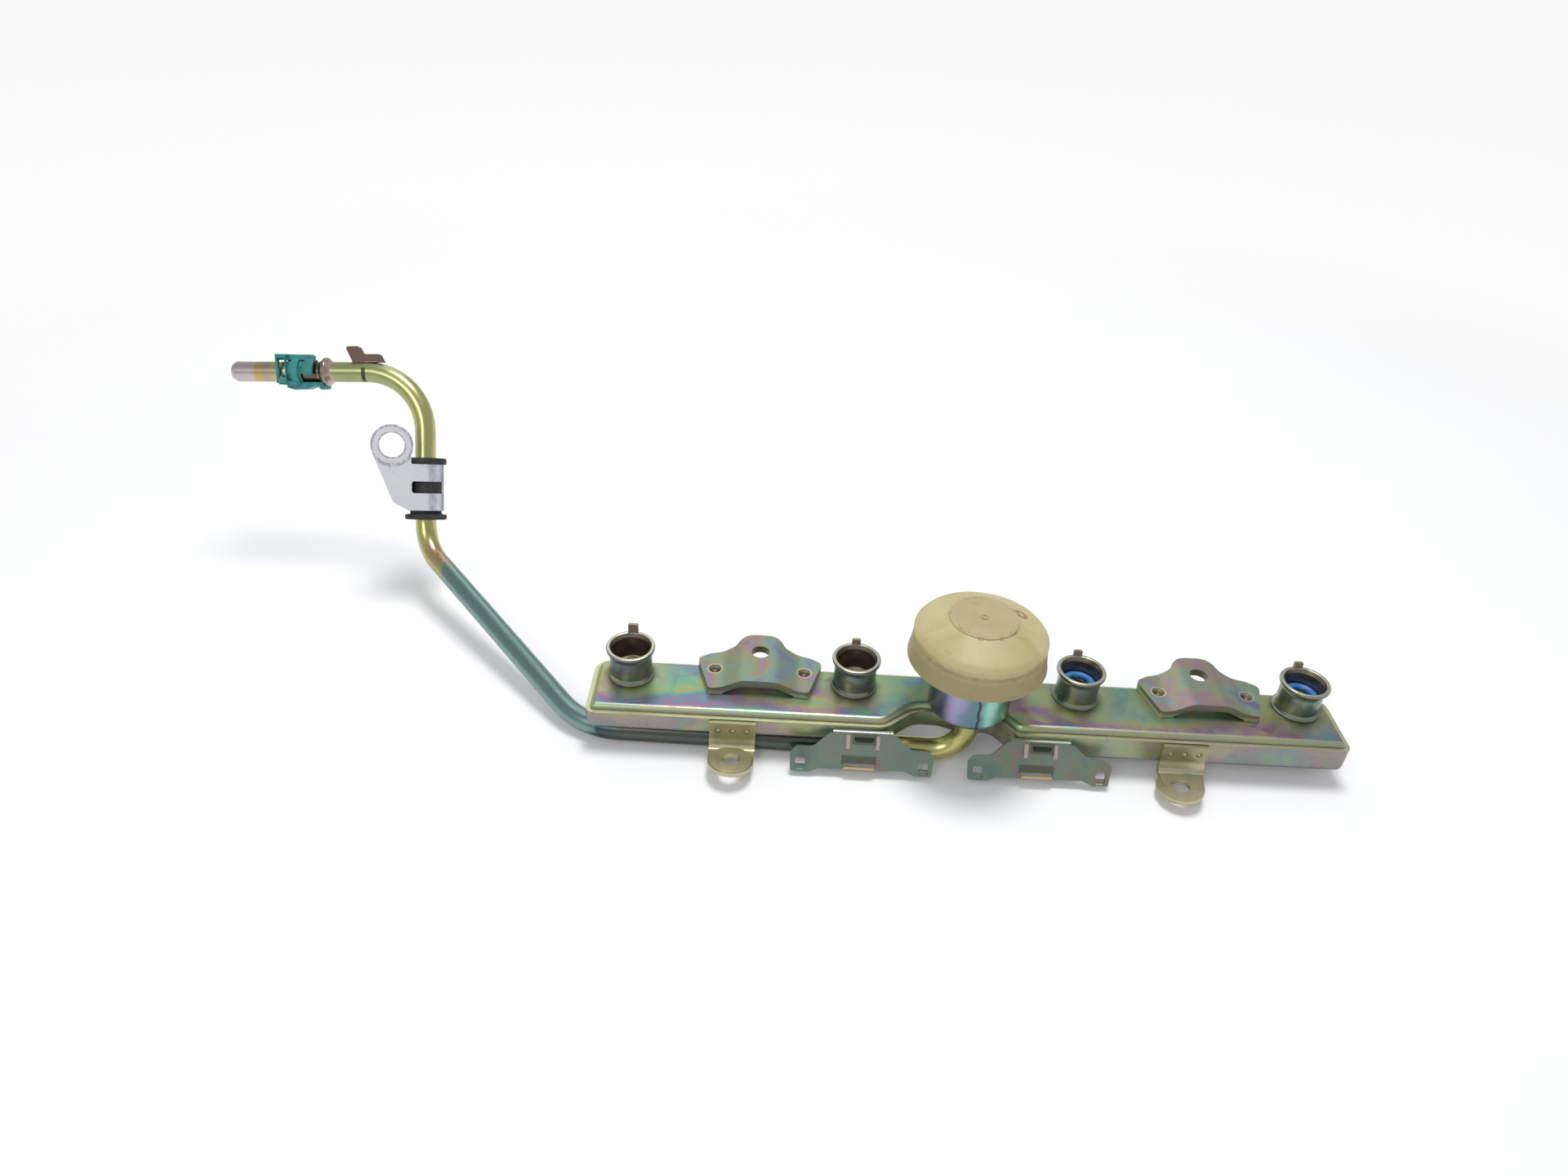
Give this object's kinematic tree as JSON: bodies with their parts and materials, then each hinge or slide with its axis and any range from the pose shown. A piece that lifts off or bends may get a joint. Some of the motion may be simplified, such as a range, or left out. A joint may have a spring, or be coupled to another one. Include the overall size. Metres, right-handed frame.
{
  "type": "fuel rail",
  "caption": "Brazed steel fuel rail with injector cups, pressure damper, bolt brackets, harness clips and a bent feed pipe with quick-connect end.",
  "frame": {"origin": "midway between the two bolt holes, on the bracket faces that meet the engine", "axes": "+X along the rail away from the feed pipe, +Y away from the harness clips, +Z the way the injector cups open"},
  "size_m": [0.4254, 0.1475, 0.0893],
  "materials": {
    "rail_upper_steel": "yellow passivated zinc",
    "rail_lower_steel": "yellow passivated zinc",
    "cup_steel": "yellow passivated zinc",
    "bracket_steel": "yellow passivated zinc",
    "side_tab_steel": "yellow passivated zinc",
    "clip_steel": "yellow passivated zinc",
    "damper_steel": "blue passivated zinc",
    "inner_steel": "bright zinc",
    "spring_steel": "oiled spring steel",
    "tube_steel": "yellow passivated zinc",
    "tab_steel": "brown passivated zinc",
    "clamp_aluminium": "rolled",
    "grommet_rubber": "matt",
    "seal_rubber": "satin",
    "diaphragm_rubber": "matt",
    "cap_plastic": "aged translucent",
    "retainer_plastic": "satin"
  },
  "bodies": {
    "root": {"rail_upper_shell": "rail_upper_steel", "rail_lower_shell": "rail_lower_steel", "injector_cup_1": "cup_steel", "injector_cup_2": "cup_steel", "injector_cup_3": "cup_steel", "injector_cup_4": "cup_steel", "injector_seal_3": "seal_rubber", "injector_seal_4": "seal_rubber", "mount_bracket_left": "bracket_steel", "mount_bracket_right": "bracket_steel", "side_tab_left": "side_tab_steel", "side_tab_right": "side_tab_steel", "harness_clip_left": "clip_steel", "harness_clip_right": "clip_steel", "damper_housing": "damper_steel", "damper_diaphragm": "diaphragm_rubber", "damper_spring_seat": "inner_steel", "damper_spring": "spring_steel", "damper_cover": "inner_steel", "damper_cap": "cap_plastic", "feed_tube": "tube_steel", "tube_tab": "tab_steel", "clamp_grommet": "grommet_rubber", "pipe_clamp": "clamp_aluminium", "connector_retainer": "retainer_plastic"}
  },
  "joints": []
}
